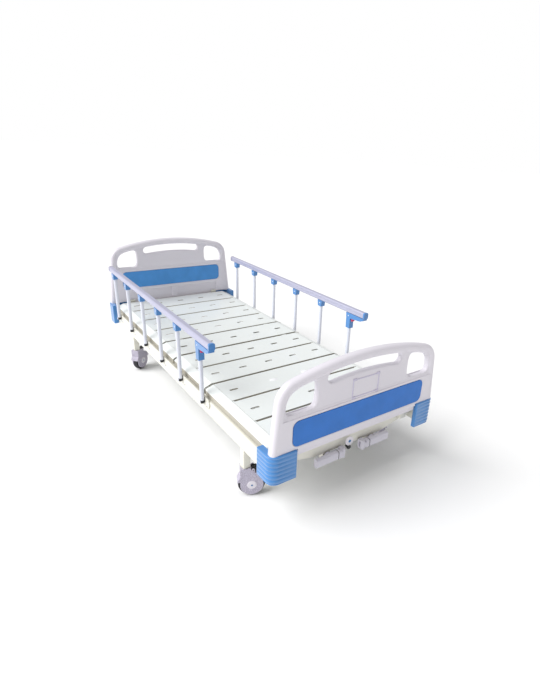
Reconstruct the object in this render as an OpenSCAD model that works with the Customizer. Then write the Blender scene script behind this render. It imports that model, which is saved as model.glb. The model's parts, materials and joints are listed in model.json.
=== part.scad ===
// Two-crank adjustable hospital bed. Millimetres, +Z up, head end at +Y, foot end at -Y.
// The origin is on the floor under the middle of the bed. Left is -X, as seen from the foot end.

/* [Overall] */
// Width over the corner bumpers
bed_w = 950; // [880:5:1150]
// Length over the corner bumpers
bed_l = 2230; // [1900:10:2700]
// Height of the slat tops above the floor
deck_z = 379; // [370:1:460]

/* [Main frame] */
// Width of a side beam
beam_w = 40; // [34:1:50]
// Height of a side beam
beam_h = 80; // [70:1:90]
// Wall of the frame tubes
tube_wall = 2.5; // [2:0.5:4]
// Width of a leg
leg_w = 36; // [34:1:40]
// Depth of the foot end apron below the top of the beams
apron_drop = 88; // [80:1:92]
// Side of the cross tubes
cross_w = 40; // [30:1:40]

/* [End boards] */
// Height of the foot board's crown above the slats
foot_crown = 358; // [330:1:420]
// How much higher the head board is than the foot board
head_extra = 86; // [0:1:120]
// Thickness of a board at its rim
board_t = 44; // [36:1:50]
// Width of the rim around a board
rim_w = 43; // [34:1:50]
// Radius of a board's top corners
board_r = 95; // [70:1:120]
// Radius of the arch along the top
arch_r = 1400; // [1100:10:2000]
// Height of an inlay
inlay_h = 116; // [90:1:124]
// Width of an inlay
inlay_w = 742; // [600:2:760]

/* [Bumpers] */
// Height of a corner bumper
bumper_h = 132; // [110:1:150]
// Length of a bumper across the end
bumper_x = 125; // [110:1:140]
// Length of a bumper along the side
bumper_y = 110; // [90:1:130]
// Number of ribs on a bumper
ribs = 6; // [4:1:8]

/* [Deck] */
// Height of a deck section
deck_h = 45; // [40:1:50]
// Length of the seat section
seat_len = 225.5; // [200:0.5:280]
// Length of the thigh section
thigh_len = 405.5; // [360:0.5:490]
// Length of the calf section
calf_len = 611; // [500:1:740]
// Width of the sloped border
border_w = 39; // [30:1:50]
// Gap between two slats
slat_gap = 14; // [8:1:20]
// Thickness of a slat
slat_t = 3; // [2:0.5:4]
// Length of a slot in a slat
slot_l = 46; // [30:1:60]
// Width of a slot in a slat
slot_w = 14; // [8:1:20]
// Radius of a deck hinge pin
hinge_r = 4; // [3:0.5:5]

/* [Side rails] */
// Distance between two uprights
rail_pitch = 274.5; // [230:0.5:300]
// Distance between the two pivots of an upright
rail_rise = 300; // [250:5:380]
// Diameter of an upright
upright_d = 21; // [18:0.5:22]
// Width of the top bar
bar_w = 30; // [26:1:31]
// Height of the top bar
bar_h = 35; // [30:1:40]
// Radius of a pivot bolt
bolt_r = 4; // [3:0.5:5]

/* [Casters] */
// Radius of a wheel
wheel_r = 62.5; // [50:0.5:65]
// Width of a wheel
wheel_w = 30; // [24:1:34]
// Distance of the wheel behind its swivel
trail = 28; // [20:1:35]
// Radius of the swivel stem
stem_r = 11; // [8:0.5:13]

/* [Lifting gear] */
// Raise of the back section
back_max = 75; // [60:1:80]
// Raise of the thigh section
thigh_max = 40; // [30:1:42]
// Reach of the back lifting arms
back_arm = 330; // [300:5:400]
// Reach of the thigh lifting arms
thigh_arm = 300; // [250:5:330]
// Radius of a lifting roller
roller_r = 18; // [14:1:20]
// Radius of a torsion tube
torsion_r = 16; // [14:1:18]
// Radius of a crank screw
screw_r = 10; // [8:0.5:12]
// Distance of a crank from the middle
crank_x = 132; // [110:1:150]
// Length of a crank grip
grip_l = 142; // [120:1:150]

/* [Hidden] */
$fn = 48;
RAIL_N = 6;
run = 0.05;       // radial clearance of a pin that turns
free = 0.5;       // space beside a part that moves
e = 0.01;         // cut-through allowance

// Heights
deck_base = deck_z - deck_h;
beam_top = deck_base - 2;
beam_base = beam_top - beam_h;
bumper_base = beam_base;
bumper_top = bumper_base + bumper_h;
board_base = beam_top + 13;
pivot_z = beam_top - 13;
upper_z = pivot_z + rail_rise;
bar_base = upper_z + 15.5;
crank_z = beam_base - 20;
torsion_z = beam_top - 26;

// Places across the bed
half_w = bed_w / 2;
rail_x = half_w - 15;
base_out = rail_x - upright_d / 2 - free;
base_t = 5;
beam_out = base_out - base_t;
beam_in = beam_out - beam_w;
deck_half = half_w - 46;
crest = deck_half - border_w;
ledge = crest - 6;
skirt = ledge - 10;
hinge_x = deck_half - 129;
arm_x = 178;
runner_x = arm_x + 17;

// Places along the bed
half_l = bed_l / 2;
board_out = half_l - 8;
board_in = board_out - board_t;
beam_end = half_l - 21;
tie_out = board_in - 28;
tie_t = 30;
deck_foot = -half_l + 81;
deck_head = half_l - 65;
knee_y = deck_foot + calf_len;
thigh_y = knee_y + thigh_len;
hip_y = thigh_y + seat_len;
foot_leg_y = -half_l + 293;
head_leg_y = half_l - 407;
first_upright = half_l - 201;
bar_head = first_upright + 76;
function upright_y(k) = first_upright - (k - 1) * rail_pitch;
bar_foot = upright_y(RAIL_N) - 121.5;

// Deck hinges: high where a section folds up, low at the knee
join = 8;
hinge_top = deck_z - 10;
knee_z = deck_base + 4;
ear_r = hinge_r + 3.5;

// Lifting geometry: the angles at which an arm carries its section at rest and raised
lift_drop = hinge_top - torsion_z;
track_drop = hinge_top - deck_base + roller_r + free;
function arm_rest(reach) = asin((lift_drop - track_drop) / reach);
function arm_raised(reach, raise) = raise - asin((track_drop - lift_drop * cos(raise)) / reach);
function arm_swing(reach, raise) = arm_raised(reach, raise) - arm_rest(reach);
lever_h = torsion_z - crank_z;
function lever_rest(reach, raise) = arm_swing(reach, raise) / 2;
function lever_offset(reach, raise) = lever_h * tan(lever_rest(reach, raise));
push_pin_r = 6;
nut_y = foot_leg_y + 202;

// Casters: turned at rest as they were left standing
leg_x = beam_out - 20;
caster_top = 2 * wheel_r + 25;
CASTERS = [
    ["foot_left", -leg_x, foot_leg_y, -25],
    ["foot_right", leg_x, foot_leg_y, 160],
    ["head_left", -leg_x, head_leg_y, 40],
    ["head_right", leg_x, head_leg_y, 200],
];
SIDES = [["left", -1], ["right", 1]];

// Helpers

// A box from one corner to the other
module block(a, b) {
    translate(a) cube(b - a);
}

// A rectangle with round corners about the origin
module rounded(w, h, r) {
    square([w - 2 * r, h], center = true);
    square([w, h - 2 * r], center = true);
    for (x = [-1, 1]) for (y = [-1, 1])
        translate([x * (w / 2 - r), y * (h / 2 - r)]) circle(r);
}

// An oblong along the first axis about the origin
module oblong(l, w) {
    square([l - w, w], center = true);
    for (x = [-1, 1]) translate([x * (l - w) / 2, 0]) circle(w / 2);
}

// An outline drawn in X and Z, made solid from y0 to y1
module along_y(y0, y1) {
    translate([0, y1, 0]) rotate([90, 0, 0]) linear_extrude(y1 - y0) children();
}

// An outline drawn in Y and Z, made solid from x0 to x1
module along_x(x0, x1) {
    translate([x0, 0, 0]) rotate([90, 0, 90]) linear_extrude(x1 - x0) children();
}

// A round bar along X from x0 to x1
module rod_x(x0, x1, y, z, r) {
    translate([x0, y, z]) rotate([0, 90, 0]) cylinder(r = r, h = x1 - x0);
}

// A round bar along Y from y0 to y1
module rod_y(y0, y1, x, z, r) {
    translate([x, y1, z]) rotate([90, 0, 0]) cylinder(r = r, h = y1 - y0);
}

// A part and its copy on the other side
module both_sides() {
    children();
    mirror([1, 0, 0]) children();
}

// A part and its copy at the other end
module both_ends() {
    children();
    mirror([0, 1, 0]) children();
}

// A square tube across the bed between the beams
module cross_tube(y0, z0, w) {
    difference() {
        block([-beam_in, y0, z0], [beam_in, y0 + w, z0 + w]);
        block([-beam_in - 1, y0 + tube_wall, z0 + tube_wall],
              [beam_in + 1, y0 + w - tube_wall, z0 + w - tube_wall]);
    }
}

// Main frame

module side_beams() color("ivory") both_sides()
    difference() {
        block([beam_in, -beam_end, beam_base], [beam_out, beam_end, beam_top]);
        block([beam_in + tube_wall, -beam_end - 1, beam_base + tube_wall],
              [beam_out - tube_wall, beam_end + 1, beam_top - tube_wall]);
    }

module apron_outline(inset, low) {
    z0 = beam_top - apron_drop;
    half = beam_in - inset;
    polygon([[-half, beam_top - inset], [-half, z0 + 41], [-half + 19, z0 + 41],
             [-200, z0 + low], [200, z0 + low], [half - 19, z0 + 41], [half, z0 + 41],
             [half, beam_top - inset]]);
}

module cross_members() color("ivory") {
    difference() {
        along_y(-tie_out, -tie_out + tie_t) apron_outline(0, 0);
        along_y(-tie_out + 3, -tie_out + tie_t + 1) apron_outline(3, 3);
    }
    cross_tube(tie_out - cross_w, beam_top - cross_w, cross_w);
    cross_tube(hip_y - 38 - cross_w, deck_base - cross_w, cross_w);
    cross_tube(thigh_y + 28, deck_base - cross_w, cross_w);
    for (y = [foot_leg_y, head_leg_y]) cross_tube(y - 15, beam_base + 4, 30);
}

module legs() color("ivory") {
    foot = caster_top + 2;
    for (x = [-leg_x, leg_x]) for (y = [foot_leg_y, head_leg_y]) difference() {
        block([x - leg_w / 2, y - leg_w / 2, foot], [x + leg_w / 2, y + leg_w / 2, beam_base]);
        block([x - leg_w / 2 + tube_wall, y - leg_w / 2 + tube_wall, foot + 38],
              [x + leg_w / 2 - tube_wall, y + leg_w / 2 - tube_wall, beam_base + 1]);
        translate([x, y, foot - 1]) cylinder(r = stem_r + run, h = 60);
    }
}

// End boards. The outline is a leaning side, a round corner and an arch, all moved in by inset.

side_lean = 0.1;
board_foot_half = half_w - 9;
window_in = 256;
slot_half = 207;
slot_depth = 48;

function corner_up(crown) = let (
    zc = crown - arch_r,
    k = board_foot_half + side_lean * (bumper_top - zc) - board_r * sqrt(1 + side_lean * side_lean),
    a = 1 + side_lean * side_lean,
    reach = arch_r - board_r,
    up = (k * side_lean + sqrt(k * k * side_lean * side_lean - a * (k * k - reach * reach))) / a
) [k - side_lean * up, up];

function right_edge(crown, inset) = let (
    c = corner_up(crown),
    zc = crown - arch_r,
    lean = atan(side_lean),
    turn = atan2(c[1], c[0]),
    low = board_foot_half + side_lean * (bumper_top - board_base) - inset * sqrt(1 + side_lean * side_lean)
) concat(
    [[low, board_base]],
    [for (i = [0:8]) let (a = lean + (turn - lean) * i / 8)
        [c[0] + (board_r - inset) * cos(a), zc + c[1] + (board_r - inset) * sin(a)]],
    [for (i = [1:11]) let (a = turn + (90 - turn) * i / 12)
        [(arch_r - inset) * cos(a), zc + (arch_r - inset) * sin(a)]]
);

module board_outline(crown, inset) {
    right = right_edge(crown, inset);
    n = len(right);
    polygon(concat(right, [[0, crown - inset]], [for (i = [1:n]) [-right[n - i][0], right[n - i][1]]]));
}

// The three openings of a board; lift is how far the board stands above the foot board
module board_windows(crown, lift) {
    sill = deck_z + 161 + lift;
    intersection() {
        board_outline(crown, rim_w);
        for (s = [-1, 1]) translate([s * (window_in + 100), sill + 100]) rounded(200, 200, 22);
    }
    intersection() {
        difference() {
            board_outline(crown, rim_w);
            board_outline(crown, rim_w + slot_depth);
        }
        translate([0, crown - 100]) square([2 * slot_half - slot_depth, 200], center = true);
    }
    end_x = slot_half - slot_depth / 2;
    end_r = arch_r - rim_w - slot_depth / 2;
    for (s = [-1, 1])
        translate([s * end_x, crown - arch_r + sqrt(end_r * end_r - end_x * end_x)]) circle(slot_depth / 2);
}

function inlay_z(lift) = deck_z + 76 + lift;

module board(lift) {
    crown = deck_z + foot_crown + lift;
    step = 6;
    difference() {
        union() {
            along_y(board_in + step, board_out - step) board_outline(crown, 0);
            along_y(board_in, board_out) difference() {
                board_outline(crown, 0);
                board_outline(crown, rim_w - 3);
            }
            along_y(board_in, board_out) intersection() {
                board_outline(crown, 0);
                translate([-half_w, inlay_z(lift) - inlay_h / 2 - 26]) square([bed_w, inlay_h + 40]);
            }
        }
        along_y(board_in - 1, board_out + 1) board_windows(crown, lift);
        for (y = [board_in - 1, board_out - 3]) along_y(y, y + 4)
            translate([0, inlay_z(lift)]) rounded(inlay_w + 1, inlay_h + 1, 28.5);
        both_sides() block([half_w - bumper_x - 5, board_in - 1, board_base - 1],
                           [half_w + 1, board_out + 1, bumper_top]);
    }
}

module head_board() color("lavender") board(head_extra);

module foot_board() color("lavender") mirror([0, 1, 0]) board(0);

module board_inlays() color("royalblue") {
    for (end = [[0, -1], [head_extra, 1]])
        mirror([0, end[1] > 0 ? 0 : 1, 0])
            for (y = [board_in - 0.5, board_out - 3]) along_y(y, y + 3.5)
                translate([0, inlay_z(end[0])]) rounded(inlay_w, inlay_h, 28);
}

module card_holder() color("lavender") {
    face = -board_out + 6;
    translate([0, 0, deck_z + 196]) difference() {
        along_y(face - 4, face) rounded(150, 86, 6);
        along_y(face - 5, face - 1) translate([0, 6]) square([136, 86], center = true);
    }
}

// Bumpers: stacked ribs around the corner, over a pocket for the end of the beam

module bumper_footprint(inset) {
    r = 40 - inset;
    x0 = half_w - bumper_x;
    y0 = half_l - bumper_y;
    difference() {
        union() {
            translate([x0, y0]) square([bumper_x - inset - r, bumper_y - inset]);
            translate([x0, y0]) square([bumper_x - inset, bumper_y - inset - r]);
            translate([half_w - inset - r, half_l - inset - r]) circle(r);
        }
        translate([x0 - 1, y0 - 1]) square([beam_out + 2 - x0 + 1, half_l - 20 - y0 + 1]);
    }
}

module bumper() {
    rib = (bumper_h - 8) / ribs;
    for (i = [0:ribs - 1]) {
        translate([0, 0, bumper_base + i * rib]) linear_extrude(rib - 5) bumper_footprint(0);
        translate([0, 0, bumper_base + i * rib + rib - 5 - e]) linear_extrude(5 + 2 * e) bumper_footprint(3);
    }
    translate([0, 0, bumper_top - 8]) linear_extrude(8) bumper_footprint(0);
}

module corner_bumpers() color("dodgerblue") both_sides() both_ends() bumper();

// Side rails

module rail_base_bars() color("ivory") both_sides() {
    y0 = upright_y(RAIL_N) - 54;
    y1 = first_upright + 54;
    along_x(beam_out, base_out) difference() {
        translate([(y0 + y1) / 2, pivot_z - 2]) oblong(y1 - y0, 50);
        for (k = [1:RAIL_N]) translate([upright_y(k), pivot_z]) circle(bolt_r + run);
    }
}

module upright(side, k) color("silver") {
    y = upright_y(k);
    r = upright_d / 2;
    outer = rail_x + r;
    mirror([side < 0 ? 1 : 0, 0, 0]) {
        difference() {
            translate([rail_x, y, pivot_z - 5.5]) cylinder(r = r, h = rail_rise + 11);
            translate([rail_x, y, pivot_z - 6]) cylinder(r = r - 2, h = rail_rise + 12);
            for (z = [pivot_z, upper_z]) rod_x(rail_x - r - 1, outer + 1, y, z, bolt_r + run);
        }
        rod_x(beam_out + free, outer + 3, y, pivot_z, bolt_r);
        rod_x(outer + free, outer + 3, y, pivot_z, bolt_r + 3);
        rod_x(rail_x - r - 3.9, outer + 3.9, y, upper_z, bolt_r);
    }
}

cheek = 3.5;
bar_x = rail_x - 0.5;

module top_bar(side) color("silver") along_y(bar_foot, bar_head)
    translate([side * bar_x, bar_base + bar_h / 2]) difference() {
        rounded(bar_w, bar_h, 9);
        rounded(bar_w - 5, bar_h - 5, 6.5);
    }

// The space that an upright's end turns in, open towards the head end
module end_space(k, depth) {
    y = upright_y(k);
    r = upright_d / 2 + free;
    block([rail_x - r, y - r - 1.5, upper_z - depth], [rail_x + r, y + 60, upper_z + 13]);
    rod_x(rail_x - 30, rail_x + 30, y, upper_z, bolt_r + run);
}

module shell(side, k, depth) {
    r = upright_d / 2 + free + cheek;
    mirror([side < 0 ? 1 : 0, 0, 0]) difference() {
        along_x(rail_x - r, rail_x + r) translate([upright_y(k), 0]) children();
        end_space(k, depth);
    }
}

module connectors(side) color("dodgerblue") for (k = [1:RAIL_N - 1]) shell(side, k, 40)
    polygon([[-21, bar_base], [-15.5, upper_z - 21], [15.5, upper_z - 21], [21, bar_base]]);

stem_z = upper_z - 22;

module handle(side) color("dodgerblue") {
    reach = upright_y(RAIL_N) - bar_foot;
    difference() {
        shell(side, RAIL_N, 90)
            polygon([[-reach - 4, bar_base], [-reach - 4, upper_z + 5], [-reach + 22, upper_z - 6],
                     [-30, upper_z - 13], [-15.5, upper_z - 13], [-15.5, upper_z - 74],
                     [15.5, upper_z - 74], [17, upper_z - 20], [21, bar_base]]);
        rod_y(upright_y(RAIL_N) - 20, upright_y(RAIL_N) - 5, side * rail_x, stem_z, 2.5 + run);
    }
    along_y(bar_foot - 10, bar_foot - e) translate([side * bar_x, bar_base + bar_h / 2])
        rounded(bar_w + 1, bar_h + 2, 9.5);
}

module release_button(side) color("crimson") {
    y = upright_y(RAIL_N);
    block([side * rail_x - 9, y - 31, stem_z - 7], [side * rail_x + 9, y - 20.5, stem_z + 6]);
    rod_y(y - 21, y - 15, side * rail_x, stem_z, 2.5);
}

// Casters: a hooded fork on a swivel stem, its wheel and its brake pedal

module at_caster(c) translate([c[1], c[2], 0]) rotate(c[3]) children();

fork_w = wheel_w + 20;
hood_r = wheel_r + 5;
pedal_pin_x = 34;
pedal_pin_z = caster_top - 8;

module caster(c) color("lavender") at_caster(c) {
    difference() {
        union() {
            along_y(-fork_w / 2, fork_w / 2) {
                translate([trail, wheel_r]) circle(wheel_r - 10);
                intersection() {
                    translate([trail, wheel_r]) circle(hood_r);
                    translate([trail - hood_r, wheel_r + 16]) square([2 * hood_r, hood_r]);
                }
                translate([-24, wheel_r + 30]) square([48, caster_top - wheel_r - 30]);
            }
            for (y = [-fork_w / 2, fork_w / 2 - 6]) along_y(y, y + 6) {
                translate([pedal_pin_x, pedal_pin_z]) circle(7);
                translate([pedal_pin_x - 14, pedal_pin_z - 14]) square([21, 14]);
            }
        }
        along_y(-wheel_w / 2 - 2, wheel_w / 2 + 2) {
            translate([trail, wheel_r]) circle(wheel_r + 1.5);
            translate([trail - wheel_r - 1.5, -1]) square([2 * wheel_r + 3, wheel_r + 1]);
        }
        rod_y(-fork_w, fork_w, pedal_pin_x, pedal_pin_z, 3 + run);
        rod_y(-wheel_w, wheel_w, trail, wheel_r, 6 + run);
    }
    translate([0, 0, caster_top - 1]) cylinder(r = stem_r, h = 38);
}

module wheel(c) color("dimgray") at_caster(c)
    translate([trail, 0, wheel_r]) rotate([90, 0, 0]) {
        rotate_extrude() polygon([
            [0, -wheel_w / 2], [wheel_r - 5, -wheel_w / 2], [wheel_r, -wheel_w / 2 + 5],
            [wheel_r, wheel_w / 2 - 5], [wheel_r - 5, wheel_w / 2], [0, wheel_w / 2]]);
        cylinder(r = 6, h = fork_w - 1, center = true);
    }

module brake_pedal(c) color("dimgray") at_caster(c) {
    arm = fork_w / 2 - 6 - free;
    along_y(-arm, arm) {
        translate([pedal_pin_x, pedal_pin_z]) circle(5);
        translate([pedal_pin_x, pedal_pin_z]) square([46, 5]);
    }
    rod_y(-fork_w / 2 + 1, fork_w / 2 - 1, pedal_pin_x, pedal_pin_z, 3);
}

// Deck

// Where two slats meet across the deck
module end_bar(y0, y1) difference() {
    block([-skirt - 1, y0, deck_base], [skirt + 1, y1, deck_z - slat_t]);
    block([-skirt - 2, y0 + 3, deck_base + 3], [skirt + 2, y1 - 3, deck_z - slat_t - 3]);
}

module border(y0, y1) along_y(y0, y1) polygon([
    [deck_half, deck_base], [deck_half, deck_z - 16], [crest, deck_z], [ledge, deck_z],
    [ledge, deck_z - slat_t], [skirt, deck_z - slat_t], [skirt, deck_base], [skirt + 3, deck_base],
    [skirt + 3, deck_z - slat_t - 3], [crest - 2, deck_z - slat_t - 3], [deck_half - 3, deck_z - 20.5],
    [deck_half - 3, deck_base]]);

module section_frame(y0, y1, bar_t) {
    a = y0 + join;
    b = y1 - join;
    both_sides() border(a, b);
    end_bar(a, a + bar_t);
    end_bar(b - bar_t, b);
    both_sides() block([arm_x + 2, a + bar_t - 1, deck_base], [arm_x + 32, b - bar_t + 1, deck_base + 6]);
}

// One hinge ear from the hinge axis into the end bar on the side that dir gives
module ear(y, z, dir, x0, x1) both_sides() along_x(x0, x1) {
    translate([y, z]) circle(ear_r);
    translate([dir > 0 ? y : y - join - 2, max(z - 4, deck_base)]) square([join + 2, z + 4 - max(z - 4, deck_base)]);
}

module inner_ear(y, z, dir) ear(y, z, dir, hinge_x - 8, hinge_x + 8);

module outer_ears(y, z, dir) {
    ear(y, z, dir, hinge_x - 14.5, hinge_x - 8.5);
    ear(y, z, dir, hinge_x + 8.5, hinge_x + 14.5);
}

module hinge_bores(y, z) rod_x(-half_w, half_w, y, z, hinge_r + run);

module hinge_pins(y, z) both_sides() rod_x(hinge_x - 14.5, hinge_x + 14.5, y, z, hinge_r);

// A pressed slat with five slots and turned-down edges; ends marks an edge that lies on an end bar
module slat(y0, y1, foot_bar, head_bar, holes) {
    half = ledge - free;
    difference() {
        block([-half, y0, deck_z - slat_t], [half, y1, deck_z]);
        for (i = holes) translate([i * (half - 60) / 2, (y0 + y1) / 2, deck_z - slat_t - 1])
            linear_extrude(slat_t + 2) oblong(slot_l, slot_w);
    }
    if (!foot_bar) block([-skirt + 4, y0, deck_z - 22], [skirt - 4, y0 + slat_t, deck_z - e]);
    if (!head_bar) block([-skirt + 4, y1 - slat_t, deck_z - 22], [skirt - 4, y1, deck_z - e]);
}

ALL_SLOTS = [-2, -1, 0, 1, 2];
END_SLOTS = [-2, 2];

// Equal slats over a section; the slat nearest the head end may have only its end slots
module slats(y0, y1, n, last_slots) {
    pitch = (y1 - y0) / n;
    for (i = [0:n - 1])
        slat(y0 + i * pitch + (i == 0 ? join : slat_gap / 2),
             y0 + (i + 1) * pitch - (i == n - 1 ? join : slat_gap / 2),
             i == 0, i == n - 1, i == n - 1 ? last_slots : ALL_SLOTS);
}

module back_frame() color("white") difference() {
    union() {
        section_frame(hip_y, deck_head + join, 30);
        inner_ear(hip_y, hinge_top, 1);
    }
    hinge_bores(hip_y, hinge_top);
}

module back_slats() color("white") slats(hip_y, deck_head + join, 4, ALL_SLOTS);

module seat_deck() color("white") {
    difference() {
        union() {
            section_frame(thigh_y, hip_y, 30);
            outer_ears(hip_y, hinge_top, -1);
            outer_ears(thigh_y, hinge_top, 1);
            slats(thigh_y, hip_y, 1, ALL_SLOTS);
        }
        hinge_bores(hip_y, hinge_top);
        hinge_bores(thigh_y, hinge_top);
    }
}

module thigh_frame() color("white") {
    difference() {
        union() {
            section_frame(knee_y, thigh_y, 30);
            inner_ear(thigh_y, hinge_top, -1);
            outer_ears(knee_y, knee_z, 1);
        }
        hinge_bores(thigh_y, hinge_top);
        hinge_bores(knee_y, knee_z);
    }
    hinge_pins(knee_y, knee_z);
}

module thigh_slats() color("white") slats(knee_y, thigh_y, 2, ALL_SLOTS);

module calf_frame() color("white") difference() {
    union() {
        section_frame(deck_foot - join, knee_y, 30);
        inner_ear(knee_y, knee_z, -1);
    }
    hinge_bores(knee_y, knee_z);
}

module calf_slats() color("white") slats(deck_foot - join, knee_y, 3, END_SLOTS);

module deck_hinge_pins() color("silver") {
    hinge_pins(hip_y, hinge_top);
    hinge_pins(thigh_y, hinge_top);
}

// Lifting gear, drawn for a hinge at y = 0 with the section lying towards +Y

lever_t = 6;
fork_in = 11;

// A lifting arm: bent down by bend so that it clears the raised section
module lift_arm(reach, bend) {
    knee = [100, -bend];
    d = [reach, 0] - knee;
    circle(torsion_r + 6);
    rotate(atan2(knee[1], knee[0])) translate([0, -9]) square([norm(knee), 18]);
    translate(knee) circle(10);
    translate(knee) rotate(atan2(d[1], d[0])) translate([0, -9]) square([norm(d), 18]);
    translate([reach, 0]) circle(11);
}

module lever_outline(reach, raise) {
    near = lever_h - 3;
    far = lever_h / cos(lever_rest(reach, raise)) + 3;
    rotate(-90 - lever_rest(reach, raise)) difference() {
        union() {
            circle(torsion_r + 5);
            translate([0, -15]) square([far, 30]);
            translate([far, 0]) circle(15);
        }
        translate([(near + far) / 2, 0]) oblong(far - near + 18, 18);
    }
}

// A torsion tube with its two arms and rollers and the lever that the push tube swings
module lift_shaft(reach, raise, bend, lever_x) {
    rest = arm_rest(reach);
    translate([0, 0, torsion_z]) {
        difference() {
            union() {
                rod_x(-beam_in + 1, beam_in - 1, 0, 0, torsion_r);
                both_sides() {
                    along_x(arm_x - 4, arm_x + 4) rotate(rest) lift_arm(reach, bend);
                    rod_x(arm_x, arm_x + 30, reach * cos(rest), reach * sin(rest), 5);
                }
                for (x = [lever_x - fork_in - lever_t, lever_x + fork_in])
                    along_x(x, x + lever_t) lever_outline(reach, raise);
            }
            rod_x(-beam_in, beam_in, 0, 0, torsion_r - 4);
        }
        both_sides() difference() {
            rod_x(arm_x + 5, arm_x + 28, reach * cos(rest), reach * sin(rest), roller_r);
            rod_x(arm_x, arm_x + 40, reach * cos(rest), reach * sin(rest), 5 + run);
        }
    }
}

module back_lift_shaft() color("gainsboro")
    translate([0, hip_y, 0]) lift_shaft(back_arm, back_max, 38, -crank_x);

module leg_lift_shaft() color("gainsboro")
    translate([0, thigh_y, 0]) mirror([0, 1, 0]) lift_shaft(thigh_arm, thigh_max, 0, crank_x);

shaft_end = -tie_out - 15;

module screw(x) color("silver") rod_y(shaft_end, nut_y + 200, x, crank_z, screw_r);

module back_screw() screw(-crank_x);

module leg_screw() screw(crank_x);

// A push tube: the nut at its foot end, a hollow for the screw, and an eye with its pin
module push_tube(x, pin_y) color("gainsboro") {
    stop = pin_y - 50;
    difference() {
        rod_y(nut_y, stop, x, crank_z, screw_r + 7);
        rod_y(nut_y + 40, stop - 12, x, crank_z, screw_r + 3);
        rod_y(nut_y - 1, nut_y + 41, x, crank_z, screw_r + run);
    }
    block([x - 9, stop - e, crank_z - 12], [x + 9, pin_y, crank_z + 12]);
    rod_x(x - 9, x + 9, pin_y, crank_z, 12);
    rod_x(x - 20, x + 20, pin_y, crank_z, push_pin_r);
}

module back_push_tube() push_tube(-crank_x, hip_y - lever_offset(back_arm, back_max));

module leg_push_tube() push_tube(crank_x, thigh_y + lever_offset(thigh_arm, thigh_max));

// The bracket that a board is screwed to
module board_bracket() {
    along_y(tie_out, board_in)
        translate([deck_half - 109, beam_top - 22]) square(40, center = true);
    block([deck_half - 129, board_in - 6, beam_top - 42], [deck_half - 89, board_in, deck_z + 16]);
}

// The blocks that the torsion tubes and the screws turn in, and the board brackets
module mounting_blocks() color("ivory") {
    both_sides() both_ends() board_bracket();
    for (y = [hip_y, thigh_y]) both_sides() difference() {
        block([beam_in - 20, y - 26, torsion_z - 26], [beam_in, y + 26, torsion_z + 24]);
        rod_x(beam_in - 21, beam_in + 1, y, torsion_z, torsion_r + run);
    }
    both_sides() difference() {
        block([crank_x - 20, -tie_out, crank_z - 22], [crank_x + 20, -tie_out + tie_t, beam_top - apron_drop]);
        rod_y(-tie_out - 1, -tie_out + tie_t + 1, crank_x, crank_z, screw_r + run);
    }
}

// Cranks, drawn for the right side with the hub at the origin and the arm towards the middle

arm_l = 72;
arm_t = 10;
hub_y = -tie_out - 6 - arm_t;
fold_y = hub_y - 13;
fold_pin_r = 4;

module at_crank(side) translate([side * crank_x, 0, crank_z]) mirror([side < 0 ? 1 : 0, 0, 0]) children();

module crank_arm(side) color("lightgray") at_crank(side) {
    difference() {
        union() {
            rod_y(hub_y, hub_y + arm_t + 2, 0, 0, 17);
            block([-arm_l - 12, hub_y, -12], [0, hub_y + arm_t, 12]);
            for (z = [-22, 14.3]) {
                block([-arm_l - 11, fold_y, z], [-arm_l + 11, hub_y + arm_t, z + 7.7]);
                translate([-arm_l, fold_y, z]) cylinder(r = 11, h = 7.7);
            }
            block([-arm_l - 11, hub_y, -22], [-arm_l + 11, hub_y + arm_t, 22]);
        }
        rod_y(shaft_end - 1, hub_y + arm_t + 3, 0, 0, screw_r + run);
        translate([-arm_l, fold_y, -30]) cylinder(r = fold_pin_r + run, h = 60);
    }
    translate([-arm_l, fold_y, -21]) cylinder(r = fold_pin_r, h = 42);
}

module crank_grip(side) color("lightgray") at_crank(side) difference() {
    union() {
        translate([-arm_l, fold_y, -13.9]) cylinder(r = 11, h = 27.8);
        block([-arm_l, fold_y - 11, -13.9], [-arm_l + 16, fold_y + 11, 13.9]);
        translate([-arm_l + 13, fold_y, 0]) rotate([90, 0, 90]) linear_extrude(grip_l) rounded(24, 42, 8);
    }
    translate([-arm_l, fold_y, -30]) cylinder(r = fold_pin_r + run, h = 60);
}

side_beams();
cross_members();
legs();
head_board();
foot_board();
board_inlays();
card_holder();
corner_bumpers();
rail_base_bars();
for (s = SIDES) {
    for (k = [1:RAIL_N])
        upright(s[1], k);
    top_bar(s[1]);
    connectors(s[1]);
    handle(s[1]);
    release_button(s[1]);
}
for (c = CASTERS) {
    caster(c);
    wheel(c);
    brake_pedal(c);
}
back_frame();
back_slats();
seat_deck();
thigh_frame();
thigh_slats();
calf_frame();
calf_slats();
deck_hinge_pins();
back_lift_shaft();
leg_lift_shaft();
back_screw();
leg_screw();
back_push_tube();
leg_push_tube();
mounting_blocks();
crank_arm(-1);  // back_crank_arm
crank_arm(1);  // leg_crank_arm
crank_grip(-1);  // back_crank_grip
crank_grip(1);  // leg_crank_grip
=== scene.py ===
import json
from math import atan, atan2, cos, hypot, pi, radians, sin, sqrt

import bmesh
import bpy
from mathutils import Matrix, Vector


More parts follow.
